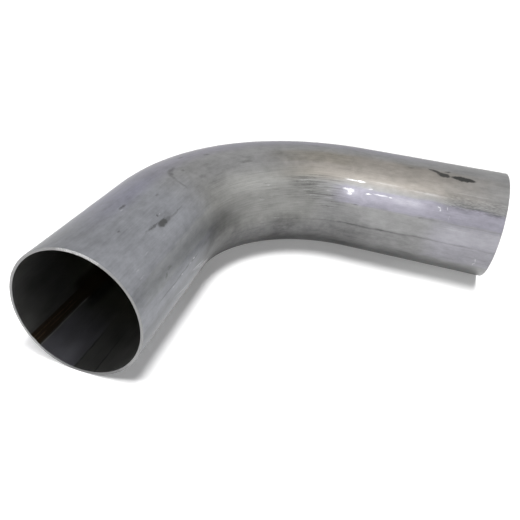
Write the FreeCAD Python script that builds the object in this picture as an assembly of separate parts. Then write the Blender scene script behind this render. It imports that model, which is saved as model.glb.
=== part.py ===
"""Mandrel bend tube: one length of thin seam-welded tube with a single smooth bend.

The tube lies on its side, as it comes to rest on a floor. +Z is up. The near leg runs along Y and
its open end faces -Y. The tube then bends in the horizontal plane, and with a right-angle bend the
far leg runs along X and its open end faces +X. The origin is on the floor, under the middle of the
tube's bounding box.

Each solid starts as a flat section on the near cut end, whose middle is over x = 0, y = 0, and is
carried along a run of straights and bends. Lengths are in millimetres and angles in degrees.
"""
import FreeCAD, Part
import math
import os

Vector = FreeCAD.Vector
Placement = FreeCAD.Placement
Rotation = FreeCAD.Rotation

# The tube as it was rolled and welded
outer_diameter = 76.2
wall = 1.65

# The bend, measured to the tube's middle, and the straight legs left on each side of it
bend_radius = 114.3
bend_angle = 90.0
near_leg = 95.0
far_leg = 99.0

# Bending over the mandrel thins the wall on the outside of the bend and thickens it on the inside.
# This is the change at the middle of the bend. The bore gets there by turning a little more gently
# than the outside over this much of the turn at each end, and a little more tightly between.
wall_change = 0.25
gentle_turn = 20.0

# The weld seam: outside it is dressed flush, inside a low bead is left.
# It lies on the outer side of the bend, this many degrees below the middle of the wall.
seam_below_middle = 44.0
bead_width = 3.6
bead_height = 0.2
bead_root = 0.5

# The cut ends are square, with their sharp edges broken
edge_break = 0.2

# How far a cutting shape runs past what it cuts
overrun = 5.0

outer_radius = outer_diameter / 2.0
inner_radius = outer_radius - wall
along = Vector(0, 1, 0)
outwards = Vector(-1, 0, 0)
up = Vector(0, 0, 1)
near_end = Vector(0, 0, outer_radius)


class Straight:
    """A straight stretch of a run."""

    def __init__(self, length):
        self.length = length

    def sweep(self, section):
        """The solid that a section on the near end leaves along this stretch."""
        return section.extrude(along * self.length)

    def motion(self):
        """The move from the start of this stretch to its end."""
        return Placement(along * self.length, Rotation())


class Bend:
    """A level bend of a run, away from the side that is outwards."""

    def __init__(self, radius, angle):
        self.centre = near_end - outwards * radius
        self.angle = angle

    def sweep(self, section):
        """The solid that a section on the near end leaves round this bend."""
        return section.revolve(self.centre, up * -1, self.angle)

    def motion(self):
        """The turn from the start of this bend to its end."""
        return Placement(Vector(), Rotation(up, -self.angle), self.centre)


def outside_run():
    """The run of the tube's outside: a straight leg, one round bend, and a straight leg."""
    return [Straight(near_leg), Bend(bend_radius, bend_angle), Straight(far_leg)]


def bore_run():
    """The run of the bore, whose middle lies wall_change outside the tube's own at mid-bend.

    It leaves each leg in line with it. The radii of its gentle and tight bends follow from that,
    and from where the middle of the bend has to be.
    """
    half = math.radians(bend_angle) / 2.0
    rest = half - math.radians(gentle_turn)
    share = math.sin(rest) / math.sin(half)
    difference = wall_change / (share * (1.0 - math.cos(half)) + math.cos(rest) - 1.0)
    gentle_radius = bend_radius + difference * share
    tight_radius = gentle_radius - difference
    return [
        Straight(near_leg),
        Bend(gentle_radius, gentle_turn),
        Bend(tight_radius, bend_angle - 2.0 * gentle_turn),
        Bend(gentle_radius, gentle_turn),
        Straight(far_leg),
    ]


def carried_along(section, run):
    """The solid left by a flat section on the near end, carried along a run."""
    pieces = []
    placement = Placement()
    for stretch in run:
        piece = stretch.sweep(section)
        piece.Placement = placement.multiply(piece.Placement)
        pieces.append(piece)
        placement = placement.multiply(stretch.motion())
    return pieces[0].fuse(pieces[1:]).removeSplitter()


def far_end_placement():
    """The placement that brings what is made for the near end onto the far end."""
    placement = Placement()
    for stretch in outside_run():
        placement = placement.multiply(stretch.motion())
    turned_round = Placement(Vector(), Rotation(up, 180.0), near_end)
    return placement.multiply(turned_round)


def disc(radius):
    """A round section on the near cut end."""
    return Part.Face(Part.Wire(Part.makeCircle(radius, near_end, along)))


def bead_section():
    """The bead's section: a flat round segment that breaks out of the wall over the bead's width.

    The segment's straight side lies bead_root deep in the wall.
    """
    tilt = math.radians(seam_below_middle)
    towards_seam = outwards * math.cos(tilt) - up * math.sin(tilt)
    across = towards_seam.cross(along)
    half_width = bead_width / 2.0
    wall_rise = inner_radius - math.sqrt(inner_radius ** 2 - half_width ** 2)
    crown_rise = bead_height - wall_rise
    crown_radius = (half_width ** 2 + crown_rise ** 2) / (2.0 * crown_rise)
    depth = bead_height + bead_root
    half_chord = math.sqrt(crown_radius ** 2 - (crown_radius - depth) ** 2)
    crown = near_end + towards_seam * (inner_radius - bead_height)
    chord_middle = crown + towards_seam * depth
    left = chord_middle - across * half_chord
    right = chord_middle + across * half_chord
    return Part.Face(Part.Wire([Part.Arc(left, crown, right).toShape(), Part.makeLine(right, left)]))


def outer_edge_cutter():
    """A ring whose inner side is a cone, to break the outer edge of the near cut end."""
    start = near_end - along * overrun
    length = overrun + edge_break
    block = Part.makeCylinder(outer_radius + overrun, length, start, along)
    return block.cut(Part.makeCone(outer_radius - length, outer_radius, length, start, along))


def bore_edge_cutter():
    """A cone that breaks the bore's edge at the near cut end, and the end of the bead with it."""
    start = near_end - along * overrun
    length = overrun + edge_break + 2.0 * bead_height
    start_radius = inner_radius + edge_break + overrun
    return Part.makeCone(start_radius, start_radius - length, length, start, along)


def bent_tube():
    """The finished tube, with the middle of its near cut end over x = 0, y = 0."""
    tube = carried_along(disc(outer_radius), outside_run())
    tube = tube.cut(carried_along(disc(inner_radius), bore_run()))
    tube = tube.fuse(carried_along(bead_section(), bore_run()))
    for end in (Placement(), far_end_placement()):
        for cutter in (outer_edge_cutter(), bore_edge_cutter()):
            cutter.Placement = end.multiply(cutter.Placement)
            tube = tube.cut(cutter)
    return tube.removeSplitter()


def on_its_reference(shape):
    """The shape moved so that the origin is on the floor, under the middle of its bounding box."""
    box = shape.optimalBoundingBox(False, False)
    return shape.translated(Vector(-box.Center.x, -box.Center.y, -box.ZMin))


os.makedirs("parts", exist_ok=True)
finished = on_its_reference(bent_tube())
finished.Solids[0].exportStep("parts/bent_tube.step")
print("solids", len(finished.Solids), "valid", finished.isValid(), "volume", round(finished.Volume, 1))
print("box", finished.optimalBoundingBox(False, False))
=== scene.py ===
"""The mandrel bend tube, dressed for its photograph.

The tube is made the way the real one is. A straight tube wall is drawn first, each of its points keeps
its place on the straight tube, and the tube is then bent. The steel's streaks, scuffs and seam are laid
out on the straight tube, so they follow the bend.

Lengths are in metres unless a name says mm. On the tube's wall, along is the distance from the near
end, and turn is the angle round the tube in degrees: 0 on the outer side of the bend, 90 on top, 180
in the crook of the bend, and -90 or 270 on the floor.
"""
import logging
import math
from dataclasses import dataclass, replace
from enum import Enum
from functools import reduce
from typing import Any, Iterable, Optional, Union

import bpy
from mathutils import Matrix, Vector


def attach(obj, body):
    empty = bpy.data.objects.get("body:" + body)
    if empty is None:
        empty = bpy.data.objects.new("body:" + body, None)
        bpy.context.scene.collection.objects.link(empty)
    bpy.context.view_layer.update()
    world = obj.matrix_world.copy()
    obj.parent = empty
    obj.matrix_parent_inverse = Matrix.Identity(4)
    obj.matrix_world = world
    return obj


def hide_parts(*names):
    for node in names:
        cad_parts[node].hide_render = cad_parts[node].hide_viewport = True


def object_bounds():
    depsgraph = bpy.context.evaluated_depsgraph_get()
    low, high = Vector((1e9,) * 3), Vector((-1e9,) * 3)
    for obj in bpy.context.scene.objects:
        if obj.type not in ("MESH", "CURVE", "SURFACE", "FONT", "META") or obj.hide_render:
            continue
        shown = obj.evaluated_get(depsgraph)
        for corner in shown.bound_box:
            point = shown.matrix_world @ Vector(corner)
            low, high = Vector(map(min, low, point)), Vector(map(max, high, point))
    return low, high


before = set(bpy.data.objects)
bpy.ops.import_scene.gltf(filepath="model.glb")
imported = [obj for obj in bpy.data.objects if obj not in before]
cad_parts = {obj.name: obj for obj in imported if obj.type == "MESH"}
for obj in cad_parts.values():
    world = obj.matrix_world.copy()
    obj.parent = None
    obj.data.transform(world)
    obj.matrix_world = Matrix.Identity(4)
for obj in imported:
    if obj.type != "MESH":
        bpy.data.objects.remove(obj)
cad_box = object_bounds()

log = logging.getLogger("bent tube")

Colour = tuple[float, float, float]
Operand = Union["Term", float]

MM = 0.001
STRAIGHT_PLACE = "place_on_straight_tube"
BLACK = (0.0, 0.0, 0.0)

# Where a patch ends that runs off the near end, and off the far end, in mm along the tube
BEFORE = -60.0
PAST = 440.0

# The power, in watts, of a soft box of one square metre that looks white
WATTS_OF_WHITE = 4.0


def placed(name: str, data: Any) -> bpy.types.Object:
    """Adds an object to the scene.

    Args:
        name: The object's name.
        data: Its mesh, lamp or camera.

    Returns:
        The object.
    """
    thing = bpy.data.objects.new(name, data)
    bpy.context.scene.collection.objects.link(thing)
    return thing


class Side(Enum):
    """Which side of the tube's wall a finish is on."""

    OUTSIDE = "outside"
    BORE = "bore"


class Term:
    """A node's output that can be used in Python arithmetic. Each operation adds its Math node."""

    def __init__(self, bench: "Bench", socket: bpy.types.NodeSocket) -> None:
        """Wraps one output socket of a bench's tree."""
        self.bench = bench
        self.socket = socket

    def __add__(self, other: Operand) -> "Term":
        """This plus the other."""
        return self.bench.math("ADD", self, other)

    def __radd__(self, other: Operand) -> "Term":
        """The other plus this."""
        return self.bench.math("ADD", other, self)

    def __sub__(self, other: Operand) -> "Term":
        """This minus the other."""
        return self.bench.math("SUBTRACT", self, other)

    def __rsub__(self, other: Operand) -> "Term":
        """The other minus this."""
        return self.bench.math("SUBTRACT", other, self)

    def __mul__(self, other: Operand) -> "Term":
        """This times the other."""
        return self.bench.math("MULTIPLY", self, other)

    def __rmul__(self, other: Operand) -> "Term":
        """The other times this."""
        return self.bench.math("MULTIPLY", other, self)

    def __truediv__(self, other: Operand) -> "Term":
        """This divided by the other."""
        return self.bench.math("DIVIDE", self, other)

    def __rtruediv__(self, other: Operand) -> "Term":
        """The other divided by this."""
        return self.bench.math("DIVIDE", other, self)

    def __gt__(self, other: Operand) -> "Term":
        """1 where this is the greater, and 0 elsewhere."""
        return self.bench.math("GREATER_THAN", self, other)

    def __lt__(self, other: Operand) -> "Term":
        """1 where this is the smaller, and 0 elsewhere."""
        return self.bench.math("LESS_THAN", self, other)


class Bench:
    """A node tree, and the ways in which this file adds to it."""

    def __init__(self, tree: bpy.types.NodeTree) -> None:
        """Takes an empty tree."""
        self.tree = tree

    @classmethod
    def of(cls, owner: Union[bpy.types.Material, bpy.types.World]) -> "Bench":
        """Starts the nodes of a material or of the world.

        Args:
            owner: The new material or world.

        Returns:
            Its tree, with no nodes in it.
        """
        owner.use_nodes = True
        owner.node_tree.nodes.clear()
        return cls(owner.node_tree)

    @staticmethod
    def find(sockets: Any, name: str) -> bpy.types.NodeSocket:
        """Finds a socket that is in use.

        Args:
            sockets: A node's inputs or outputs.
            name: The socket's identifier, or its name where it has no such identifier.

        Returns:
            The socket.
        """
        shown = [socket for socket in sockets if socket.enabled]
        for attribute in ("identifier", "name"):
            for socket in shown:
                if getattr(socket, attribute) == name:
                    return socket
        raise KeyError(f"{name} is not among {[socket.identifier for socket in shown]}")

    def node(
        self, kind: str, settings: Optional[dict[str, Any]] = None, values: Optional[dict[str, Any]] = None
    ) -> bpy.types.Node:
        """Adds a node.

        Args:
            kind: The node's type.
            settings: Its settings, such as a Math node's operation, which are set first.
            values: For each input by its identifier, the value to set or the term to link.

        Returns:
            The node.
        """
        node = self.tree.nodes.new(kind)
        for name, setting in (settings or {}).items():
            setattr(node, name, setting)
        for name, value in (values or {}).items():
            socket = self.find(node.inputs, name)
            if isinstance(value, Term):
                self.tree.links.new(value.socket, socket)
            elif socket.type == "RGBA":
                socket.default_value = (*value, 1.0)
            else:
                socket.default_value = value
        return node

    def term(self, node: bpy.types.Node, name: str) -> Term:
        """A node's output as a term."""
        return Term(self, self.find(node.outputs, name))

    def math(self, operation: str, *operands: Operand) -> Term:
        """A Math node's result.

        Args:
            operation: What the node does.
            operands: Its one, two or three values.

        Returns:
            The result as a term.
        """
        sockets = ("Value", "Value_001", "Value_002")
        node = self.node("ShaderNodeMath", {"operation": operation}, dict(zip(sockets, operands)))
        return self.term(node, "Value")

    def vector(self, x: Operand, y: Operand, z: Operand) -> Term:
        """A vector from its three parts."""
        return self.term(self.node("ShaderNodeCombineXYZ", None, {"X": x, "Y": y, "Z": z}), "Vector")

    def dot(self, vector: Term, along: Vector) -> Term:
        """How far a vector reaches along a fixed direction."""
        values = {"Vector": vector, "Vector_001": along}
        return self.term(self.node("ShaderNodeVectorMath", {"operation": "DOT_PRODUCT"}, values), "Value")

    def parts(self, vector: Term) -> tuple[Term, Term, Term]:
        """The three parts of a vector."""
        node = self.node("ShaderNodeSeparateXYZ", None, {"Vector": vector})
        return self.term(node, "X"), self.term(node, "Y"), self.term(node, "Z")

    def greatest(self, values: Iterable[Operand]) -> Term:
        """The greatest of some values at each place."""
        return reduce(lambda most, value: self.math("MAXIMUM", most, value), values)

    def step(self, value: Operand, start: float, end: float, top: float = 1.0) -> Term:
        """A smooth rise from 0, where a value is at the start, to the top, where it is at the end.

        Args:
            value: The value that the rise follows.
            start: Where the rise starts. It may be above the end, and then the rise runs downwards.
            end: Where the rise ends.
            top: How high it rises.

        Returns:
            The rise as a term.
        """
        values = {"Value": value, "From Min": start, "From Max": end, "To Max": top}
        settings = {"interpolation_type": "SMOOTHSTEP", "clamp": False}
        return self.term(self.node("ShaderNodeMapRange", settings, values), "Result")

    def band(self, value: Operand, low: float, high: float, soft: float) -> Term:
        """1 where a value is between two limits, falling smoothly to 0 outside them.

        Args:
            value: The value that is looked at.
            low: The lower limit, where the band is at half its strength.
            high: The upper limit, where it is at half its strength too.
            soft: The width of the smooth edge on each side.

        Returns:
            The band as a term from 0 to 1.
        """
        half = soft / 2.0
        return self.step(value, low - half, low + half) * self.step(value, high + half, high - half)

    def noise(self, vector: Term, detail: float = 2.0, roughness: float = 0.5, name: str = "Fac") -> Term:
        """Smooth noise, one feature to a unit of the vector.

        Args:
            vector: Where in the noise to look.
            detail: How many finer layers it has.
            roughness: How strong the finer layers are.
            name: Fac for one number, about 0.5 on the whole, or Color for three.

        Returns:
            The noise as a term.
        """
        values = {"Vector": vector, "Scale": 1.0, "Detail": detail, "Roughness": roughness}
        return self.term(self.node("ShaderNodeTexNoise", {"noise_dimensions": "3D"}, values), name)

    def mix(self, factor: Operand, first: Any, second: Any, mode: str = "MIX") -> Term:
        """Two colours mixed.

        Args:
            factor: How much of the second colour there is.
            first: A colour or a term.
            second: A colour or a term.
            mode: How they mix.

        Returns:
            The mixed colour as a term.
        """
        settings = {"data_type": "RGBA", "blend_type": mode, "clamp_factor": True}
        values = {"Factor_Float": factor, "A_Color": first, "B_Color": second}
        return self.term(self.node("ShaderNodeMix", settings, values), "Result_Color")

    def metal(self, colour: Term, roughness: Operand, height: Term) -> None:
        """Ends a material's tree in bare metal.

        Args:
            colour: The metal's colour.
            roughness: Its roughness.
            height: How high its grain stands, in metres.
        """
        bump = self.node("ShaderNodeBump", None, {"Strength": 1.0, "Distance": 1.0, "Height": height})
        shader = self.node("ShaderNodeBsdfPrincipled", None, {
            "Base Color": colour,
            "Metallic": 1.0,
            "Roughness": roughness,
            "Normal": self.term(bump, "Normal"),
        })
        self.node("ShaderNodeOutputMaterial", None, {"Surface": self.term(shader, "BSDF")})


@dataclass(frozen=True)
class Mark:
    """A mark on the wall: a soft ragged ellipse, turned a little from the tube's length."""

    along_mm: float
    turn: float
    length_mm: float
    width_mm: float
    strength: float
    slope: float = 0.0
    core: float = 0.2

    def mask(self, bench: Bench, sheet: Term, radius_mm: float) -> Term:
        """How strong the mark is at each place.

        Args:
            bench: The tree of the material.
            sheet: The place on the wall rolled out flat, in mm: along the tube, and round it.
            radius_mm: The radius of the wall's side that the mark is on.

        Returns:
            The mark's strength in its middle, falling to 0 at its edge.
        """
        centre = Vector((self.along_mm, math.radians(self.turn) * radius_mm, 0.0))
        if self.slope:
            lengthways = Vector((1.0, self.slope, 0.0)).normalized()
            sideways = Vector((-lengthways.y, lengthways.x, 0.0))
            sheet = bench.vector(bench.dot(sheet, lengthways), bench.dot(sheet, sideways), 0.0)
            centre = Vector((centre.dot(lengthways), centre.dot(sideways), 0.0))
        size = Vector((2.0 / self.length_mm, 2.0 / self.width_mm, 0.0))
        from_centre = bench.node("ShaderNodeVectorMath", {"operation": "MULTIPLY_ADD"}, {
            "Vector": sheet,
            "Vector_001": size,
            "Vector_002": -centre * size,
        })
        away = bench.node("ShaderNodeVectorMath", {"operation": "LENGTH"}, {
            "Vector": bench.term(from_centre, "Vector"),
        })
        return bench.step(bench.term(away, "Value"), 1.0, self.core, self.strength)


@dataclass(frozen=True)
class Wall:
    """Where a material's shading point is on the straight tube, as terms."""

    bench: Bench
    x_mm: Term
    y_mm: Term
    along_mm: Term
    turn: Term

    @classmethod
    def read(cls, bench: Bench, side: Side) -> "Wall":
        """Reads the place that the tube's mesh keeps.

        Args:
            bench: The tree of the material.
            side: The side of the wall. The angle jumps by a full turn where that side shows it least.

        Returns:
            The place as terms.
        """
        attribute = bench.node("ShaderNodeAttribute", {"attribute_name": STRAIGHT_PLACE})
        x, y, z = bench.parts(bench.term(attribute, "Vector"))
        if side is Side.OUTSIDE:
            turn = 90.0 - bench.math("DEGREES", bench.math("ARCTAN2", x, y))
        else:
            turn = bench.math("DEGREES", bench.math("ARCTAN2", x, y * -1.0)) - 90.0
        return cls(bench, x / MM, y / MM, z / MM, turn)

    def sheet(self, radius_mm: float) -> Term:
        """The place on the wall rolled out flat, in mm: along the tube, and round it."""
        return self.bench.vector(self.along_mm, self.turn * math.radians(radius_mm), 0.0)

    def noise(self, width_mm: float, length_mm: float, seed: float, detail: float = 2.0) -> Term:
        """Noise whose features are as wide across the tube and as long along it as is asked.

        Args:
            width_mm: The size of a feature across the tube.
            length_mm: Its size along the tube.
            seed: A shift that gives each use its own pattern.
            detail: How many finer layers it has.

        Returns:
            The noise, about 0 on the whole and mostly between -0.3 and 0.3.
        """
        place = self.bench.vector(
            self.x_mm / width_mm + seed, self.y_mm / width_mm - seed, self.along_mm / length_mm + seed
        )
        return self.bench.noise(place, detail) - 0.5

    def patch(
        self, along: tuple[float, float], turn: tuple[float, float], soft_mm: float, soft_turn: float
    ) -> Term:
        """1 on a patch of the wall, falling smoothly to 0 outside it.

        Args:
            along: The patch's two ends along the tube, in mm.
            turn: Its two ends round the tube, in degrees.
            soft_mm: The width of its smooth edge along the tube.
            soft_turn: The width of its smooth edge round the tube, in degrees.

        Returns:
            The patch as a term from 0 to 1.
        """
        lengthways = self.bench.band(self.along_mm, *along, soft_mm)
        return lengthways * self.bench.band(self.turn, *turn, soft_turn)

    def ragged(self, reach_mm: float, reach_turn: float, size_mm: float) -> "Wall":
        """The same place moved about by noise, which makes the edges of marks ragged.

        Args:
            reach_mm: How far it moves along the tube.
            reach_turn: How far it moves round the tube, in degrees.
            size_mm: The size of the noise.

        Returns:
            The moved place.
        """
        lengthways = self.noise(size_mm, size_mm * 2.0, seed=3.7, detail=3.0)
        sideways = self.noise(size_mm, size_mm * 2.0, seed=9.1, detail=3.0)
        along_mm = self.along_mm + lengthways * reach_mm
        return replace(self, along_mm=along_mm, turn=self.turn + sideways * reach_turn)


@dataclass(frozen=True)
class Patch:
    """A soft-edged stretch of the wall that is lighter, darker or of another tint than the rest."""

    along: tuple[float, float]
    turn: tuple[float, float]
    strength: float
    soft_mm: float = 16.0
    soft_turn: float = 6.0

    def mask(self, wall: Wall) -> Term:
        """The patch's strength on it, falling to 0 outside it."""
        return wall.patch(self.along, self.turn, self.soft_mm, self.soft_turn) * self.strength


@dataclass(frozen=True)
class OutsideSteel:
    """The bare drawn steel of the tube's outside, with what handling and bending left on it, and with painted
    light, shade and reflections.
    """

    radius_mm: float
    body: float = 0.25
    brightest: float = 0.6
    cool: Colour = (0.975, 1.0, 1.075)
    neutral: Colour = (1.0, 1.0, 1.0)
    olive: Colour = (1.0, 1.0, 0.93)
    beige: Colour = (1.07, 1.0, 0.91)
    lavender: Colour = (1.01, 0.98, 1.17)
    dirt_and_shade: Colour = (0.05, 0.05, 0.048)
    glint_and_burnish: Colour = (0.8, 0.8, 0.82)
    roughness: float = 0.37
    streaked: float = 0.28
    mottled: float = 0.5
    blotched: float = 0.5
    speckled: float = 0.14
    dashed: float = 0.18
    ripple_line_shading: float = 0.12
    feathered: float = 1.1
    drawn_streaks: float = 0.34
    drawn_blotches: float = 0.26
    streak_height: float = 5.0e-6
    mottle_height: float = 3.0e-5
    blotch_height: float = 9.0e-6
    worked_height: float = 1.6e-5
    # Painted light and shade: stretches lighter or darker than the rest, in place of the light and shade that
    # the steel mirrors
    painted_light_and_shade: tuple[Patch, ...] = (
        # Painted shade on the top, and on the side towards the floor, which are the dullest
        Patch((BEFORE, PAST), (-20, 90), -0.2, 20, 30),
        Patch((BEFORE, PAST), (78, 112), -0.05, 20, 14),
        Patch((95, 218), (190, 260), -0.52, 44, 36),
        Patch((218, 262), (196, 260), -0.3, 44, 30),
        Patch((84, 148), (172, 260), -0.34, 40, 14),
        Patch((186, 288), (176, 260), -0.12, 30, 12),
        Patch((258, 286), (184, 260), -0.1, 16, 8),
        Patch((70, 110), (171, 260), -0.12, 34, 16),
        Patch((-30, 95), (178, 260), -0.36, 20, 12),
        Patch((262, PAST), (190, 260), -0.14, 24, 16),
        Patch((BEFORE, 100), (-20, 73), -0.1, 20, 10),
        # Painted reflections: the band along the near leg, and the start of the bend
        Patch((20, 128), (146, 163), 0.32, 36, 5),
        Patch((BEFORE, 34), (146, 163), -0.06, 24, 2),
        Patch((BEFORE, 60), (163.5, 169), 0.05, 20, 2),
        Patch((20, 76), (171, 182), 0.05, 20, 6),
        Patch((BEFORE, 90), (126, 144.5), 0.06, 30, 3),
        Patch((130, 215), (138, 168), 0.11, 20, 14),
        Patch((136, 172), (178, 230), -0.1, 24, 12),
        Patch((196, 262), (104, 121), -0.1, 20, 4),
        Patch((104, 142), (114, 178), -0.1, 20, 10),
        # Painted light on the far leg, which is brightest by its end
        Patch((283, 300), (164, 184), 0.09, 3, 4),
        Patch((280.5, 283), (141, 200), 0.07, 1.6, 4),
        Patch((286, PAST), (151, 184), 0.12, 24, 6),
        Patch((334, PAST), (166, 185), 0.34, 34, 6),
        Patch((330, PAST), (185, 230), 0.22, 30, 3),
        Patch((334, PAST), (130, 148), -0.2, 20, 5),
    )
    # Painted highlights: glints on spots and thin lines, partly real burnish left by the bending tools and
    # scratches
    glint_and_burnish_marks: tuple[Mark, ...] = (
        Mark(270.5, 149.8, 10, 3.8, 0.95, core=0.2),
        Mark(270, 153.2, 7.5, 2.2, 0.85),
        Mark(266, 148.6, 10, 1.8, 0.6),
        Mark(270, 151, 22, 8, 0.16, core=0),
        Mark(271, 138.2, 20, 1.3, 0.6, slope=0.02),
        Mark(277.5, 138.2, 7, 2, 0.9),
        Mark(284, 149.9, 5.5, 1.4, 0.8, slope=-0.1),
        Mark(285, 144.6, 5, 1.2, 0.4, slope=-0.3),
        Mark(292.5, 148.8, 14, 1.2, 0.55),
        Mark(299, 149.2, 4, 1.2, 0.55),
        Mark(310, 150.5, 34, 8, 0.14, core=0.1),
        Mark(331.5, 149.3, 3.4, 1.2, 0.7, slope=0.5),
        Mark(332.6, 151.6, 1.4, 2.4, 0.55),
        Mark(337, 149, 1, 3, 0.35),
        Mark(339, 158, 1.2, 5, 0.16),
        # Painted highlights on the edges of the ripples in the bend
        Mark(232, 159.2, 18, 0.8, 0.3),
        Mark(240, 149.6, 16, 0.8, 0.24),
        Mark(228, 153.8, 16, 0.7, 0.2),
        Mark(250, 160.6, 14, 1.6, 0.18),
        Mark(249, 153, 12, 1.2, 0.18),
        Mark(226, 143.4, 30, 0.8, 0.2),
        Mark(177, 161, 10, 0.8, 0.2, slope=0.05),
        Mark(187, 147, 12, 0.8, 0.2, slope=0.05),
        Mark(295, 135.8, 30, 2, 0.14),
        Mark(344, 169, 30, 0.9, 0.1),
        Mark(322, 137.6, 36, 2.4, 0.14),
        Mark(352, 130.4, 40, 1.2, 0.07),
        # Painted glints along the scratch on the near leg
        Mark(48, 171.4, 3, 1, 0.3),
        Mark(60, 171, 6, 1.1, 0.35),
        Mark(65.5, 170.6, 3.6, 1.3, 0.5),
        Mark(36, 172.6, 4, 1, 0.22),
        # Painted highlights on scrapes across it, towards the floor
        Mark(82, 190.5, 44, 1.1, 0.34, slope=0.27),
        Mark(88, 195.5, 36, 1.1, 0.34, slope=0.27),
        Mark(72, 184, 26, 1.6, 0.24, slope=0.2),
        Mark(50, 189, 30, 1.2, 0.2, slope=0.24),
        # Painted glints on nicks on the near leg
        Mark(14, 143.6, 6, 1, 0.12),
        Mark(14.5, 137.4, 5, 1.2, 0.14),
        Mark(27.5, 133.6, 6, 1, 0.1),
        Mark(46, 93.6, 5, 0.9, 0.2),
        Mark(59.5, 118.9, 2.4, 0.8, 0.25),
        # Painted highlight on the hook-shaped scratch low on the far leg
        Mark(363.6, 205, 1.2, 6, 0.3, slope=0.3),
        Mark(363.6, 199.5, 1.2, 5, 0.3, slope=-0.3),
        # Painted highlights on short lines on the bend
        Mark(195.5, 184.2, 13, 0.8, 0.22, slope=0.04),
        Mark(179, 187, 9, 0.7, 0.16, slope=0.05),
    )
    # The dark smudge, drip, dots and scuffs, and painted shade of the ripples in the bend
    dirt_and_shade_marks: tuple[Mark, ...] = (
        # The smudge on the near leg, with a tail on each side
        Mark(55.5, 126.1, 15.5, 5.4, 0.8, slope=0.06, core=0.4),
        Mark(61.5, 126.6, 14, 3.8, 0.5, slope=0.02),
        Mark(46.5, 122.8, 20, 2.2, 0.6, slope=0.03),
        Mark(70, 127.6, 32, 1.5, 0.35),
        Mark(58, 126, 40, 8, 0.22, core=0),
        Mark(56.8, 118.5, 2.2, 1.5, 0.75),
        # Small marks round it
        Mark(49.5, 91.5, 9, 2.6, 0.7),
        Mark(27.3, 106.7, 3.6, 1.6, 0.6),
        Mark(74, 105, 5, 2.6, 0.35),
        Mark(32, 158.7, 6, 2, 0.35, slope=-0.3),
        Mark(37.5, 155.8, 7, 2.4, 0.25),
        Mark(18, 88, 26, 9, 0.2, core=0),
        Mark(33, 89.5, 12, 4, 0.16, core=0),
        # The drip where the bend starts
        Mark(98.8, 112.5, 4, 17, 0.36, core=0),
        Mark(100.6, 102.5, 4.4, 11, 0.38, slope=0.35, core=0),
        Mark(103.4, 97.4, 11, 6.5, 0.5, slope=-0.8, core=0.1),
        Mark(107.5, 94, 18, 4.6, 0.5, slope=-0.15, core=0.1),
        # Specks round the start of the bend
        Mark(114.5, 101.8, 5, 3, 0.45),
        Mark(120, 104, 18, 10, 0.16, core=0),
        Mark(123, 118, 10, 4.5, 0.28),
        Mark(126, 128, 12, 2, 0.18),
        Mark(147, 92.5, 7, 3.6, 0.4),
        Mark(130, 81, 7, 3, 0.3),
        Mark(173, 116.8, 18, 3.6, 0.36),
        Mark(178, 113, 12, 5, 0.16),
        Mark(238, 93, 9, 4, 0.22),
        # The two scuffs near the far end
        Mark(326.6, 107.8, 15, 3.4, 0.9, slope=0.36, core=0.4),
        Mark(330.8, 110.8, 10, 5.6, 0.95, core=0.5),
        Mark(333, 104.6, 7, 2.2, 0.7, slope=-0.3),
        Mark(332.8, 113.2, 3.6, 1.2, 0.8),
        Mark(322, 105.6, 7, 2, 0.8, slope=0.2),
        Mark(343.6, 111.7, 19, 5, 1, slope=0.05, core=0.65),
        Mark(308, 107.6, 9, 3, 0.34),
        Mark(312, 105.5, 26, 7, 0.2, core=0),
        # Dark scored lines above the glow's end
        Mark(357, 144.4, 36, 1.9, 0.42),
        Mark(366, 146.8, 16, 3.4, 0.34),
        Mark(348, 141.4, 18, 1.4, 0.34),
        Mark(343, 139.2, 10, 1, 0.26),
        # Painted shade: the dark lines of the ripples in the bend
        Mark(228, 145.2, 46, 0.9, 0.4),
        Mark(231, 147.6, 19, 2.2, 0.42),
        Mark(229, 140.3, 40, 0.9, 0.38),
        Mark(238, 137.4, 26, 0.7, 0.36),
        Mark(230, 155.6, 20, 2.6, 0.34),
        Mark(232, 151.9, 24, 0.8, 0.34),
        Mark(216, 149.8, 14, 0.8, 0.3),
        Mark(236, 162.6, 22, 0.8, 0.26),
        Mark(251, 170, 24, 0.9, 0.32),
        Mark(253, 164.6, 20, 0.9, 0.4),
        Mark(252, 158, 14, 0.9, 0.3),
        Mark(176, 158.8, 9, 0.9, 0.3, slope=0.05),
        Mark(184, 144.8, 9, 0.9, 0.3, slope=0.05),
        Mark(195, 152, 12, 0.8, 0.3, slope=0.06),
        Mark(148, 142.5, 9, 0.9, 0.2, slope=-0.08),
        # Small dark spots along the edge of the glow
        Mark(276.5, 163.4, 6.5, 1.5, 0.5),
        Mark(321.5, 163.4, 5.5, 1, 0.3),
        Mark(297.5, 185.9, 9, 1.5, 0.4),
    )

    def strongest(self, marks: tuple[Mark, ...], wall: Wall) -> Term:
        """The strongest of the marks at each place, from 0 to 1."""
        sheet = wall.sheet(self.radius_mm)
        return wall.bench.greatest(mark.mask(wall.bench, sheet, self.radius_mm) for mark in marks)

    def ridges(self, wall: Wall) -> Term:
        """The long thin dark lines that run along the tube, from 0 to 1."""
        bench = wall.bench
        wavy = wall.turn + wall.noise(7.0, 10.0, seed=6.6, detail=3.0) * 3.2
        broken = wall.noise(3.0, 7.0, seed=3.3) * 1.2 + 0.8
        drifting = wavy + bench.step(wall.along_mm, 290.0, 325.0) * 1.6
        low_line = bench.band(drifting, 186.0, 187.6, 2.0) * bench.step(wall.along_mm, 180.0, 290.0, 0.34)
        glow_edge = bench.band(wavy, 163.0, 163.8, 1.6) * bench.step(wall.along_mm, 296.0, 330.0, 0.2)
        scratch = bench.band(wavy, 170.6, 171.4, 1.2) * bench.band(wall.along_mm, 20.0, 72.0, 8.0) * 0.42
        return bench.greatest((low_line * broken, glow_edge * broken, scratch))

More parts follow.
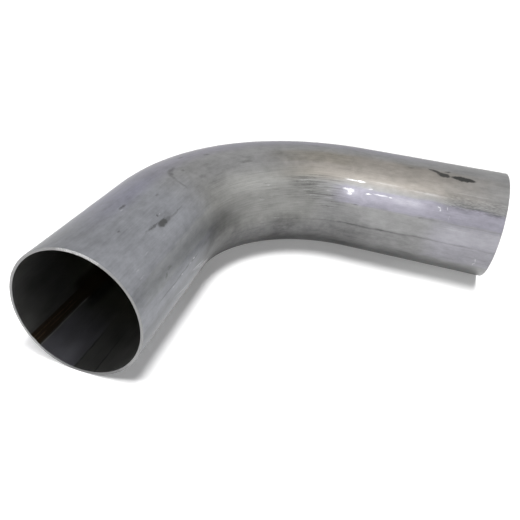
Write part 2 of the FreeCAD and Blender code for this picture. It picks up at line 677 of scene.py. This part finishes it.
    def tint(self, wall: Wall, colour: Term) -> Term:
        """Paints the colour casts of the mirrored surroundings into the steel: cool on the near leg, olive in
        the bend, beige and lavender by the highlight.

        Args:
            wall: The place on the wall, moved a little so that no edge is straight.
            colour: The steel's colour.

        Returns:
            The tinted colour as a term.
        """
        bench = wall.bench
        base = bench.mix(bench.step(wall.along_mm, 70.0, 120.0), self.cool, self.neutral)
        colour = bench.mix(1.0, colour, base, "MULTIPLY")
        in_bend = wall.patch((104.0, 240.0), (128.0, 190.0), 30.0, 20.0)
        near_band = wall.patch((10.0, 110.0), (146.0, 163.0), 30.0, 3.0)
        dull_streak = wall.patch((206.0, 268.0), (105.0, 121.0), 20.0, 4.0)
        olive = bench.greatest((in_bend * 0.5, near_band * 0.6, dull_streak * 0.5))
        colour = bench.mix(olive, colour, self.olive, "MULTIPLY")
        beige = wall.patch((215.0, 352.0), (104.0, 140.0), 70.0, 12.0)
        colour = bench.mix(beige, colour, self.beige, "MULTIPLY")
        glow = wall.patch((258.0, PAST), (145.0, 163.0), 20.0, 4.0)
        low = wall.patch((330.0, PAST), (160.0, 210.0), 20.0, 10.0) * 0.45
        top = wall.patch((40.0, 320.0), (42.0, 92.0), 60.0, 18.0) * 0.85
        cool = bench.greatest((glow * 0.8, low, top))
        return bench.mix(cool, colour, self.lavender, "MULTIPLY")

    def build(self) -> bpy.types.Material:
        """Makes the material.

        Returns:
            The material, whose nodes read the place on the straight tube.
        """
        material = bpy.data.materials.new("bare_steel_outside")
        bench = Bench.of(material)
        wall = Wall.read(bench, Side.OUTSIDE)
        loose = wall.ragged(reach_mm=16.0, reach_turn=7.0, size_mm=9.0)

        streaks = wall.noise(0.55, 26.0, seed=1.3, detail=3.0)
        mottle = wall.noise(11.0, 22.0, seed=5.2, detail=3.0)
        blotches = wall.noise(3.0, 6.0, seed=4.9, detail=3.0)
        speckle = wall.noise(0.9, 1.4, seed=8.4, detail=1.0)
        worked = wall.patch((210.0, 262.0), (138.5, 160.0), 16.0, 5.0)
        half_worked = wall.patch((150.0, 268.0), (138.0, 174.0), 30.0, 10.0)
        drawn = wall.patch((118.0, 272.0), (126.0, 178.0), 40.0, 12.0)
        worked_noise = wall.noise(0.62, 17.0, seed=2.6, detail=1.0)
        long_noise = wall.noise(1.0, 46.0, seed=0.7, detail=0.0)
        # Painted light and shade of the ripples in the bend: dark and light dashes, and long lines
        dashes = bench.step(worked_noise, -0.02, -0.15, -1.0) + bench.step(worked_noise, 0.06, 0.2, 0.5)
        ripple_lines = bench.step(long_noise, -0.1, -0.2, -1.0) + bench.step(long_noise, 0.12, 0.22, 0.6)
        by_glow = wall.patch((334.0, PAST), (134.0, 148.0), 16.0, 5.0)
        feathers = wall.noise(0.55, 2.6, seed=7.3, detail=3.0)

        tone = 1.0 + streaks * self.streaked + mottle * self.mottled + blotches * self.blotched
        tone = tone + speckle * self.speckled
        # Painted light and shade of the ripples in the bend
        tone = tone + dashes * (worked + half_worked / 2.0) * self.dashed + ripple_lines * worked * self.ripple_line_shading
        tone = tone + feathers * by_glow * self.feathered
        tone = tone + (streaks * self.drawn_streaks - blotches * self.drawn_blotches) * drawn
        # Painted light and shade from the stretches listed above
        for patch in self.painted_light_and_shade:
            tone = tone + patch.mask(loose)
        tone = tone - self.ridges(wall)
        grey = bench.mix(tone * (self.body / self.brightest), BLACK, (self.brightest,) * 3)
        # Painted colour casts of the mirrored surroundings
        colour = self.tint(loose, grey)

        # Dark marks: real dirt and scuffs, and painted shade of the ripples in the bend
        dirt_and_shade_mask = self.strongest(self.dirt_and_shade_marks, wall.ragged(reach_mm=3.2, reach_turn=3.6, size_mm=1.3))
        colour = bench.mix(dirt_and_shade_mask, colour, self.dirt_and_shade)
        # Painted glints and highlights, partly on real burnish and scratches, broken into flecks
        flecks = bench.step(wall.noise(0.6, 3.0, seed=5.7), -0.28, 0.02)
        moved = wall.ragged(reach_mm=2.5, reach_turn=1.6, size_mm=1.4)
        glint_and_burnish_mask = self.strongest(self.glint_and_burnish_marks, moved) * flecks
        colour = bench.mix(glint_and_burnish_mask, colour, self.glint_and_burnish)

        dull = wall.patch((BEFORE, 130.0), (138.0, 178.0), 30.0, 12.0)
        roughness = self.roughness + mottle * 0.12 + blotches * 0.1
        roughness = roughness + dirt_and_shade_mask * 0.15 + dull * 0.05 - glint_and_burnish_mask * 0.12
        height = streaks * self.streak_height + mottle * self.mottle_height + blotches * self.blotch_height
        height = height + worked_noise * (worked + half_worked) * self.worked_height
        bench.metal(colour, roughness, height)
        return material


@dataclass(frozen=True)
class BoreSteel:
    """The steel inside the tube, duller than the outside, with the heat-tinted seam, and with painted light
    and shade.
    """

    seam_turn: float
    body: float = 0.19
    brightest: float = 0.6
    cool: Colour = (0.98, 0.98, 1.12)
    neutral: Colour = (1.0, 1.0, 0.98)
    tint: Colour = (0.08, 0.053, 0.03)
    bead_highlight: Colour = (0.2, 0.14, 0.095)
    deep: Colour = (1.0, 1.0, 0.86)
    roughness: float = 0.44
    streaked: float = 0.35
    mottled: float = 0.5
    streak_height: float = 5.0e-6
    mottle_height: float = 2.0e-5
    # Painted light and shade: the bore lighter by the near end and towards the far end, and darker a little
    # way in
    painted_light_and_shade: tuple[Patch, ...] = (
        Patch((BEFORE, 36), (-84, -51), 0.62, 40, 2.5),
        Patch((BEFORE, 14), (-38, 24), 0.55, 26, 10),
        Patch((BEFORE, 30), (-150, -105), 0.25, 40, 3),
        Patch((46, 140), (-60, -32), -0.6, 12, 10),
        Patch((334, PAST), (-300, 120), 0.7, 70, 6),
    )

    def seam(self, wall: Wall, colour: Term) -> Term:
        """Colours the seam: a brown band, two painted highlights on the bead in it, and a painted glint line
        beside it.

        Args:
            wall: The place on the wall.
            colour: The bore's colour.

        Returns:
            The colour with the seam on it, as a term.
        """
        bench = wall.bench
        from_seam = wall.turn - self.seam_turn + wall.noise(3.0, 20.0, seed=2.9) * 1.5
        colour = bench.mix(bench.band(from_seam, -5.4, 5.6, 2.0) * 0.9, colour, self.tint)
        # Painted highlights on both sides of the bead, broken up and fading further in
        lines = bench.greatest((bench.band(from_seam, 1.4, 2.4, 0.8), bench.band(from_seam, -1.6, -0.6, 0.8)))
        highlight_breaks = bench.step(wall.noise(1.2, 3.0, seed=8.8), -0.2, 0.1) * bench.step(wall.along_mm, 48.0, 30.0)
        colour = bench.mix(lines * highlight_breaks * 0.8, colour, self.bead_highlight)
        wide = bench.band(from_seam, -8.0, 12.0, 6.0) * bench.step(wall.along_mm, 40.0, 52.0, 0.7)
        colour = bench.mix(wide, colour, self.tint)
        # Painted glint along an edge beside the seam
        beside = bench.band(from_seam, -7.2, -6.2, 0.9) * bench.step(wall.along_mm, 50.0, 42.0)
        return bench.mix(beside * 0.55, colour, (self.brightest,) * 3)

    def build(self) -> bpy.types.Material:
        """Makes the material.

        Returns:
            The material, whose nodes read the place on the straight tube.
        """
        material = bpy.data.materials.new("bare_steel_bore")
        bench = Bench.of(material)
        wall = Wall.read(bench, Side.BORE)
        loose = wall.ragged(reach_mm=14.0, reach_turn=3.0, size_mm=7.0)

        streaks = wall.noise(0.8, 30.0, seed=4.3, detail=3.0)
        mottle = wall.noise(7.0, 16.0, seed=6.1, detail=3.0)
        tone = 1.0 + streaks * self.streaked + mottle * self.mottled
        # Painted light and shade from the stretches listed above
        for patch in self.painted_light_and_shade:
            tone = tone + patch.mask(loose)
        wavy = wall.turn + wall.noise(6.0, 9.0, seed=1.8) * 3.0
        lines = bench.band(wavy, -104.8, -103.4, 1.5) + bench.band(wavy, -85.6, -84.2, 1.5)
        tone = tone - lines * bench.step(wall.along_mm, 40.0, 16.0) * 0.4
        grey = bench.mix(tone * (self.body / self.brightest), BLACK, (self.brightest,) * 3)
        # A cool cast on the painted light by the near end
        cool = loose.patch((BEFORE, 40.0), (-84.0, -51.0), 40.0, 3.0)
        colour = bench.mix(1.0, grey, bench.mix(cool, self.neutral, self.cool), "MULTIPLY")
        deep = bench.band(wall.along_mm, 45.0, 330.0, 30.0)
        colour = bench.mix(deep, colour, self.deep, "MULTIPLY")
        colour = self.seam(wall, colour)

        roughness = self.roughness + mottle * 0.12
        bench.metal(colour, roughness, streaks * self.streak_height + mottle * self.mottle_height)
        return material


@dataclass(frozen=True)
class CutSteel:
    """The sawn and deburred steel of the two cut ends, with painted shade low down and a painted glint on
    top.
    """

    dark: Colour = (0.2, 0.2, 0.2)
    light: Colour = (0.34, 0.34, 0.34)
    glint: Colour = (0.62, 0.62, 0.62)
    shade: Colour = (0.62, 0.62, 0.62)
    roughness: float = 0.45
    saw_height: float = 8.0e-6

    def build(self) -> bpy.types.Material:
        """Makes the material.

        Returns:
            The material, whose nodes read the place on the straight tube.
        """
        material = bpy.data.materials.new("bare_steel_cut")
        bench = Bench.of(material)
        wall = Wall.read(bench, Side.OUTSIDE)

        saw_lines = wall.noise(0.35, 4.0, seed=7.7)
        patches = wall.noise(6.0, 6.0, seed=2.2)
        colour = bench.mix(0.5 + saw_lines * 0.9 + patches * 0.9, self.dark, self.light)
        # Painted shade: each rim darker low down
        low = bench.greatest((bench.step(wall.turn, 205.0, 240.0), bench.step(wall.turn, -45.0, -75.0)))
        colour = bench.mix(low, colour, self.shade, "MULTIPLY")
        # Painted glint along the top of each rim
        top_glint = bench.band(wall.turn + patches * 30.0, 80.0, 116.0, 8.0) * bench.step(saw_lines, -0.15, 0.1)
        colour = bench.mix(top_glint * 0.8, colour, self.glint)
        bench.metal(colour, self.roughness + patches * 0.2, saw_lines * self.saw_height)
        return material


@dataclass
class BentTube:
    """The tube: one length of thin round wall with a single level bend, open at both ends."""

    outer_diameter: float = 76.2 * MM
    wall: float = 1.65 * MM
    bend_radius: float = 114.3 * MM
    bend_angle: float = 90.0
    near_leg: float = 95.0 * MM
    far_leg: float = 99.0 * MM
    wall_change: float = 0.25 * MM
    seam_turn: float = -44.0
    bead_width: float = 3.6 * MM
    bead_height: float = 0.2 * MM
    edge_break: float = 0.2 * MM
    unevenness: float = 0.12 * MM
    hollow_width: float = 22.0 * MM
    hollow_length: float = 55.0 * MM
    columns: int = 288
    edge_cuts: int = 2
    sharp_angle: float = 20.0
    nearly_whole: float = 0.999
    outside_rows_apart: float = 1.9 * MM
    bore_rows_apart: float = 3.8 * MM
    name: str = "bent_tube_wall"

    def arc_centre(self) -> Vector:
        """The centre of the bend, from the tube's box: its legs end on the box's near and far sides."""
        low, high = cad_box
        return Vector((high.x - self.far_leg, low.y + self.near_leg, low.z + self.outer_diameter / 2.0))

    def inputs(self) -> dict[str, float]:
        """The named sizes that the tree takes."""
        return {
            "Outer diameter": self.outer_diameter,
            "Wall": self.wall,
            "Bend radius": self.bend_radius,
            "Bend angle": math.radians(self.bend_angle),
            "Near leg": self.near_leg,
            "Far leg": self.far_leg,
            "Wall change": self.wall_change,
            "Seam turn": math.radians(self.seam_turn),
            "Bead width": self.bead_width,
            "Bead height": self.bead_height,
            "Edge break": self.edge_break,
            "Unevenness": self.unevenness,
            "Outside rows apart": self.outside_rows_apart,
            "Bore rows apart": self.bore_rows_apart,
        }

    def tree(self, finishes: dict[str, bpy.types.Material]) -> bpy.types.NodeTree:
        """Builds the Geometry Nodes tree that makes the tube.

        Args:
            finishes: The finishes of the outside, the bore and the cut ends.

        Returns:
            The tree, with the tube's sizes as named inputs.
        """
        tree = bpy.data.node_groups.new("bent tube", "GeometryNodeTree")
        tree.interface.new_socket("Geometry", in_out="OUTPUT", socket_type="NodeSocketGeometry")
        for name, value in self.inputs().items():
            socket = tree.interface.new_socket(name, in_out="INPUT", socket_type="NodeSocketFloat")
            socket.default_value = value
        bench = Bench(tree)
        group = bench.node("NodeGroupInput")
        size = {name: bench.term(group, name) for name in self.inputs()}

        radius = size["Outer diameter"] / 2.0
        bend_length = size["Bend radius"] * size["Bend angle"]
        length = size["Near leg"] + bend_length + size["Far leg"]
        half_wall = size["Wall"] / 2.0

        section = self.wall_section(bench, size, length)
        circle = bench.node("GeometryNodeCurvePrimitiveCircle", None, {"Resolution": self.columns})
        index = bench.term(bench.node("GeometryNodeInputIndex"), "Index")
        column_turn = 2.0 * math.pi / self.columns
        circle = self.keep(bench, bench.term(circle, "Curve"), "round", index * column_turn)
        swept = bench.node("GeometryNodeCurveToMesh", None, {"Curve": circle, "Profile Curve": section})
        # The sweep leaves every face turned inwards, so they are all turned over
        wall = bench.node("GeometryNodeFlipFaces", None, {"Mesh": bench.term(swept, "Mesh")})

        turn, depth, along = (self.kept(bench, name) for name in ("round", "depth", "along"))
        cosine, sine = bench.math("COSINE", turn), bench.math("SINE", turn)
        straight_radius = radius - half_wall + depth
        straight = bench.vector(straight_radius * cosine, straight_radius * sine, along)
        mesh = self.keep(bench, bench.term(wall, "Mesh"), STRAIGHT_PLACE, straight, "FLOAT_VECTOR")

        bent = bench.math("MINIMUM", bench.math("MAXIMUM", along - size["Near leg"], 0.0), bend_length)
        angle = bent / size["Bend radius"]
        straight_run = along - size["Near leg"] - bent
        on_outside = bench.step(depth / half_wall, 0.0, 1.0)
        on_bore = 1.0 - bench.step(depth / half_wall, -1.0, 0.0)

        across = straight_radius - on_bore * self.bead(bench, size, turn)
        across = across - on_outside * self.hollows(bench, size, straight)
        share = bench.math("SINE", angle * (math.pi / math.radians(self.bend_angle)))
        shift = on_bore * size["Wall change"] * share * share
        outwards = size["Bend radius"] + across * cosine + shift
        sine_bend, cosine_bend = bench.math("SINE", angle), bench.math("COSINE", angle)
        centre = self.arc_centre()
        place = bench.vector(
            centre.x - outwards * cosine_bend + straight_run * sine_bend,
            centre.y + outwards * sine_bend + straight_run * cosine_bend,
            centre.z + across * sine,
        )
        bent_wall = bench.node("GeometryNodeSetPosition", None, {"Geometry": mesh, "Position": place})
        mesh = self.dress(bench, bench.term(bent_wall, "Geometry"), depth / half_wall, finishes)
        bench.node("NodeGroupOutput", None, {"Geometry": mesh})
        return tree

    def wall_section(self, bench: Bench, size: dict[str, Term], length: Term) -> Term:
        """The wall cut lengthways: a long thin closed shape, whose four corners are broken.

        Args:
            bench: The tube's tree.
            size: Its named sizes.
            length: The tube's length along its middle.

        Returns:
            The shape as a curve that keeps its depth in the wall and its distance from the near end.
        """
        strip = bench.node("GeometryNodeCurvePrimitiveQuadrilateral", {"mode": "RECTANGLE"}, {
            "Width": size["Wall"],
            "Height": length,
        })
        strip = bench.node("GeometryNodeFilletCurve", {"mode": "POLY"}, {
            "Curve": bench.term(strip, "Curve"),
            "Count": self.edge_cuts,
            "Radius": size["Edge break"],
        })
        position = bench.term(bench.node("GeometryNodeInputPosition"), "Position")
        index = bench.term(bench.node("GeometryNodeInputIndex"), "Index")
        following = bench.node("GeometryNodeOffsetPointInCurve", None, {"Point Index": index, "Offset": 1})
        settings = {"data_type": "FLOAT_VECTOR", "domain": "POINT"}
        next_position = bench.node("GeometryNodeFieldAtIndex", settings, {
            "Value": position,
            "Index": bench.term(following, "Point Index"),
        })
        side = bench.node("ShaderNodeVectorMath", {"operation": "DISTANCE"}, {
            "Vector": position,
            "Vector_001": bench.term(next_position, "Value"),
        })
        depth, along, _ = bench.parts(position)
        outside = depth > 0.0
        apart = size["Outside rows apart"] * outside + size["Bore rows apart"] * (1.0 - outside)
        strip = bench.node("GeometryNodeSubdivideCurve", None, {
            "Curve": bench.term(strip, "Curve"),
            "Cuts": bench.math("FLOOR", bench.term(side, "Value") / apart),
        })
        section = self.keep(bench, bench.term(strip, "Curve"), "depth", depth)
        return self.keep(bench, section, "along", along + length / 2.0)

    def bead(self, bench: Bench, size: dict[str, Term], turn: Term) -> Term:
        """How far the weld bead stands into the bore, round the tube.

        Args:
            bench: The tube's tree.
            size: Its named sizes.
            turn: The angle round the tube, from 0 to a full turn, in radians.

        Returns:
            The height as a term.
        """
        bore_radius = size["Outer diameter"] / 2.0 - size["Wall"]
        away = bench.math("ABSOLUTE", turn - 2.0 * math.pi - size["Seam turn"]) * bore_radius
        share = away / (size["Bead width"] / 2.0)
        return size["Bead height"] * bench.math("MAXIMUM", 1.0 - share * share, 0.0)

    def hollows(self, bench: Bench, size: dict[str, Term], straight: Term) -> Term:
        """How far the outside lies below a true round: slight unevenness from drawing and bending.

        Args:
            bench: The tube's tree.
            size: Its named sizes.
            straight: The place on the straight tube.

        Returns:
            The depth as a term, nowhere below 0.
        """
        x, y, z = bench.parts(straight)
        place = bench.vector(x / self.hollow_width, y / self.hollow_width, z / self.hollow_length)
        return size["Unevenness"] * bench.noise(place)

    def dress(self, bench: Bench, mesh: Term, share: Term, finishes: dict[str, bpy.types.Material]) -> Term:
        """Gives the tube its finishes, its smooth sides and its sharp cut edges.

        Args:
            bench: The tube's tree.
            mesh: The tube.
            share: The place in the wall, from -1 on the bore to 1 on the outside.
            finishes: The finishes of the outside, the bore and the cut ends.

        Returns:
            The finished tube.
        """
        edge_angle = bench.term(bench.node("GeometryNodeInputMeshEdgeAngle"), "Unsigned Angle")
        smooth = bench.node("GeometryNodeSetShadeSmooth", {"domain": "EDGE"}, {
            "Geometry": mesh,
            "Shade Smooth": edge_angle < math.radians(self.sharp_angle),
        })
        real = bench.node("GeometryNodeRealizeInstances", None, {"Geometry": bench.term(smooth, "Geometry")})
        mesh = bench.term(real, "Geometry")
        selections = {"cut": None, "outside": share > self.nearly_whole, "bore": share < -self.nearly_whole}
        for name, selection in selections.items():
            values = {"Geometry": mesh, "Material": finishes[name]}
            if selection is not None:
                values["Selection"] = selection
            mesh = bench.term(bench.node("GeometryNodeSetMaterial", None, values), "Geometry")
        for name in ("round", "depth", "along"):
            without = bench.node("GeometryNodeRemoveAttribute", None, {"Geometry": mesh, "Name": name})
            mesh = bench.term(without, "Geometry")
        return mesh

    @staticmethod
    def keep(bench: Bench, geometry: Term, name: str, value: Term, data_type: str = "FLOAT") -> Term:
        """Stores a value on the points of a geometry.

        Args:
            bench: The tube's tree.
            geometry: The geometry.
            name: The name to store the value under.
            value: The value.
            data_type: Its type.

        Returns:
            The geometry with the value.
        """
        node = bench.node("GeometryNodeStoreNamedAttribute", {"data_type": data_type, "domain": "POINT"}, {
            "Geometry": geometry,
            "Name": name,
            "Value": value,
        })
        return bench.term(node, "Geometry")

    @staticmethod
    def kept(bench: Bench, name: str) -> Term:
        """Reads a stored value."""
        node = bench.node("GeometryNodeInputNamedAttribute", {"data_type": "FLOAT"}, {"Name": name})
        return bench.term(node, "Attribute")

    def build(self) -> bpy.types.Object:
        """Makes the tube as a plain mesh.

        Returns:
            The finished piece.
        """
        outer_radius_mm = self.outer_diameter / 2.0 / MM
        finishes = {
            "outside": OutsideSteel(outer_radius_mm).build(),
            "bore": BoreSteel(self.seam_turn).build(),
            "cut": CutSteel().build(),
        }
        maker = placed("tube_maker", bpy.data.meshes.new("tube_maker"))
        modifier = maker.modifiers.new("bent tube", "NODES")
        tree = self.tree(finishes)
        modifier.node_group = tree
        for socket in tree.interface.items_tree:
            if socket.in_out == "INPUT":
                modifier[socket.identifier] = self.inputs()[socket.name]
        evaluated = maker.evaluated_get(bpy.context.evaluated_depsgraph_get())
        mesh = bpy.data.meshes.new_from_object(evaluated)
        maker.modifiers.remove(modifier)
        bpy.data.objects.remove(maker)
        mesh.name = self.name
        return placed(self.name, mesh)


@dataclass(frozen=True)
class SoftBox:
    """A soft box. Azimuth 0 is in front of the near end and 90 to its right, and a glow of 1 is white."""

    name: str
    azimuth: float
    elevation: float
    distance: float
    width: float
    height: float
    glow: float


@dataclass
class Studio:
    """The white floor, the plain soft light and the camera."""

    floor_size: float = 30.0
    floor_colour: Colour = (0.84, 0.84, 0.84)
    floor_glow: float = 0.225
    room_light: float = 0.08
    sun: float = 3.3
    sun_width: float = 15.0
    suns_from: tuple[tuple[float, float], ...] = ((70.0, 82.0), (40.0, 78.0), (20.0, 71.0))
    fill: float = 16.0
    fill_place: tuple[float, float, float] = (-0.62, -0.42, 0.3)
    fill_aim: tuple[float, float, float] = (-0.13, -0.12, 0.0)
    fill_cone: float = 24.0
    fill_size: float = 0.08
    soft_boxes: tuple[SoftBox, ...] = (
        SoftBox("front_box", azimuth=-12.0, elevation=48.0, distance=1.2, width=0.62, height=1.48, glow=1.7),
        SoftBox("side_box", azimuth=100.0, elevation=42.0, distance=1.4, width=1.3, height=0.8, glow=0.45),
        SoftBox("top_box", azimuth=0.0, elevation=88.0, distance=1.4, width=1.0, height=1.0, glow=0.2),
    )
    boxes_aim: tuple[float, float, float] = (0.0, 0.0, 0.04)
    camera_place: tuple[float, float, float] = (0.04017, -0.29832, 0.20664)
    camera_right: tuple[float, float, float] = (0.94352, 0.32349, 0.07158)
    camera_up: tuple[float, float, float] = (-0.22088, 0.45316, 0.86363)
    sensor_width: float = 36.0
    lens: float = 36.24
    shift_x: float = 0.0634
    shift_y: float = -0.0421
    clip_start: float = 0.01

    @staticmethod
    def seen_directly(bench: Bench) -> Term:
        """Tells what the camera sees, also in metal or through glass, from other light.

        Args:
            bench: The tree to add to.

        Returns:
            1 for what is seen, and 0 for other light paths.
        """
        path = bench.node("ShaderNodeLightPath")
        rays = ("Is Camera Ray", "Is Glossy Ray", "Is Transmission Ray")
        return bench.greatest(bench.term(path, name) for name in rays)

    def floor(self) -> bpy.types.Object:
        """Makes the floor.

        Returns:
            The floor.
        """
        half = self.floor_size / 2.0
        mesh = bpy.data.meshes.new("floor")
        corners = [(-half, -half, 0.0), (half, -half, 0.0), (half, half, 0.0), (-half, half, 0.0)]
        mesh.from_pydata(corners, [], [(0, 1, 2, 3)])
        material = bpy.data.materials.new("white_floor")
        bench = Bench.of(material)
        matt = bench.node("ShaderNodeBsdfDiffuse", None, {"Color": self.floor_colour})
        strength = self.seen_directly(bench) * self.floor_glow
        glow = bench.node("ShaderNodeEmission", None, {"Strength": strength})
        both = bench.node("ShaderNodeAddShader", None, {
            "Shader": bench.term(matt, "BSDF"),
            "Shader_001": bench.term(glow, "Emission"),
        })
        bench.node("ShaderNodeOutputMaterial", None, {"Surface": bench.term(both, "Shader")})
        mesh.materials.append(material)
        floor = placed("floor", mesh)
        return floor

    def room(self) -> None:
        """Sets the world: white where it is seen, and a dimmer light on what is matt."""
        world = bpy.data.worlds.new("room")
        bench = Bench.of(world)
        strength = self.room_light + self.seen_directly(bench) * (1.0 - self.room_light)
        light = bench.node("ShaderNodeBackground", None, {"Color": (1.0, 1.0, 1.0), "Strength": strength})
        bench.node("ShaderNodeOutputWorld", None, {"Surface": bench.term(light, "Background")})
        bpy.context.scene.world = world

    def soft_box(self, box: SoftBox) -> bpy.types.Object:
        """Makes one soft box that faces the tube and that only the steel mirrors.

        Args:
            box: Its name, place, size and glow.

        Returns:
            The lamp.
        """
        data = bpy.data.lights.new(box.name, "AREA")
        data.shape = "RECTANGLE"
        data.size = box.width
        data.size_y = box.height
        data.energy = box.glow * WATTS_OF_WHITE * box.width * box.height
        lamp = placed(box.name, data)
        outwards = self.direction(box.azimuth, box.elevation)
        lamp.location = Vector(self.boxes_aim) + outwards * box.distance
        lamp.rotation_euler = outwards.to_track_quat("Z", "Y").to_euler()
        lamp.visible_diffuse = False
        lamp.visible_camera = False
        return lamp

    @staticmethod
    def direction(azimuth: float, elevation: float) -> Vector:
        """The direction from the tube to what stands somewhere round it.

        Args:
            azimuth: Where it stands, in degrees: 0 in front of the near end, and 90 to its right.
            elevation: How high it stands, in degrees.

        Returns:
            The direction, of length 1.
        """
        round_angle, rise = math.radians(azimuth), math.radians(elevation)
        level = math.cos(rise)
        return Vector((math.sin(round_angle) * level, -math.cos(round_angle) * level, math.sin(rise)))

    def floor_fill(self) -> bpy.types.Object:
        """Sets a spot that keeps the floor white on the left of the near end. The steel doesn't mirror it.

        Returns:
            The lamp.
        """
        data = bpy.data.lights.new("floor_fill", "SPOT")
        data.energy = self.fill
        data.spot_size = math.radians(self.fill_cone)
        data.spot_blend = 1.0
        data.shadow_soft_size = self.fill_size
        lamp = placed(data.name, data)
        place = Vector(self.fill_place)
        lamp.location = place
        lamp.rotation_euler = (place - Vector(self.fill_aim)).to_track_quat("Z", "Y").to_euler()
        lamp.visible_glossy = False
        return lamp

    def lamps(self) -> None:
        """Sets the lamps: soft suns that give the floor its shadow, and soft boxes that the steel mirrors."""
        for number, place in enumerate(self.suns_from, 1):
            data = bpy.data.lights.new(f"overhead_{number}", "SUN")
            data.energy = self.sun / len(self.suns_from)
            data.angle = math.radians(self.sun_width)
            overhead = placed(data.name, data)
            overhead.rotation_euler = self.direction(*place).to_track_quat("Z", "Y").to_euler()
            overhead.visible_glossy = False
        self.floor_fill()
        for box in self.soft_boxes:
            self.soft_box(box)

    def camera(self) -> None:
        """Sets the camera where the photograph was taken from."""
        data = bpy.data.cameras.new("camera")
        data.sensor_width = self.sensor_width
        data.lens = self.lens
        data.shift_x = self.shift_x
        data.shift_y = self.shift_y
        data.clip_start = self.clip_start
        camera = placed("camera", data)
        right = Vector(self.camera_right).normalized()
        back = right.cross(Vector(self.camera_up)).normalized()
        up = back.cross(right)
        turned = Matrix((right, up, back)).transposed().to_4x4()
        camera.matrix_world = Matrix.Translation(self.camera_place) @ turned
        bpy.context.scene.camera = camera

    def build(self) -> None:
        """Sets up the whole studio."""
        self.floor()
        self.room()
        self.lamps()
        self.camera()
        bpy.context.scene.view_settings.view_transform = "Standard"


def main() -> None:
    """Builds the studio and the tube."""
    logging.basicConfig(level=logging.INFO, format="%(name)s: %(message)s")
    Studio().build()
    log.info("studio is set")
    piece = BentTube().build()
    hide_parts("bent_tube")
    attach(piece, "root")
    mesh = piece.data
    log.info("%s has %d vertices and %d faces", piece.name, len(mesh.vertices), len(mesh.polygons))


if __name__ == "__main__":
    main()
